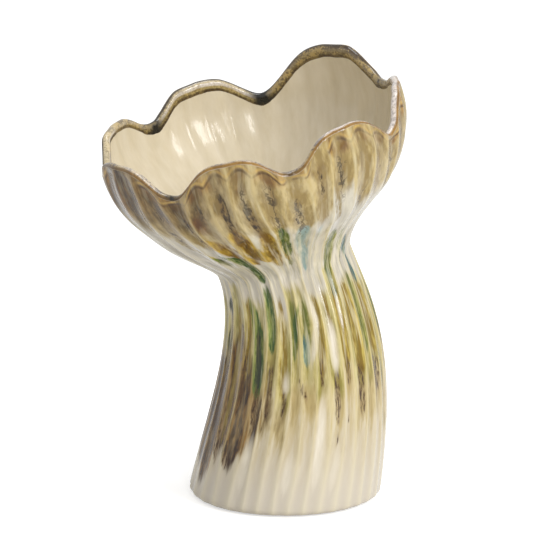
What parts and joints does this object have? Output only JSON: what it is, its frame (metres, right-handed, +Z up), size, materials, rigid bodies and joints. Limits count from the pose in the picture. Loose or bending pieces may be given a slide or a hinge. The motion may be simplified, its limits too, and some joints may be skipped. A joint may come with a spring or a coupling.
{
  "type": "stoneware vase",
  "caption": "Leaning fluted stoneware vase whose stem narrows to a waist and opens into a wide bowl with a scalloped, lobed rim.",
  "frame": {"origin": "middle of the whole vase's bounding box in plan, at the height of the surface that it stands on", "axes": "+Z up, front towards -Y, the bowl leans towards -X"},
  "size_m": [0.1752, 0.1786, 0.2567],
  "materials": {
    "glazed_stoneware": "glossy reactive glaze, cream to khaki brown with green and teal pools",
    "felt": "matte felt"
  },
  "bodies": {
    "root": {"vase_body": "glazed_stoneware", "foot_pad_1": "felt", "foot_pad_2": "felt", "foot_pad_3": "felt", "foot_pad_4": "felt"}
  },
  "joints": []
}
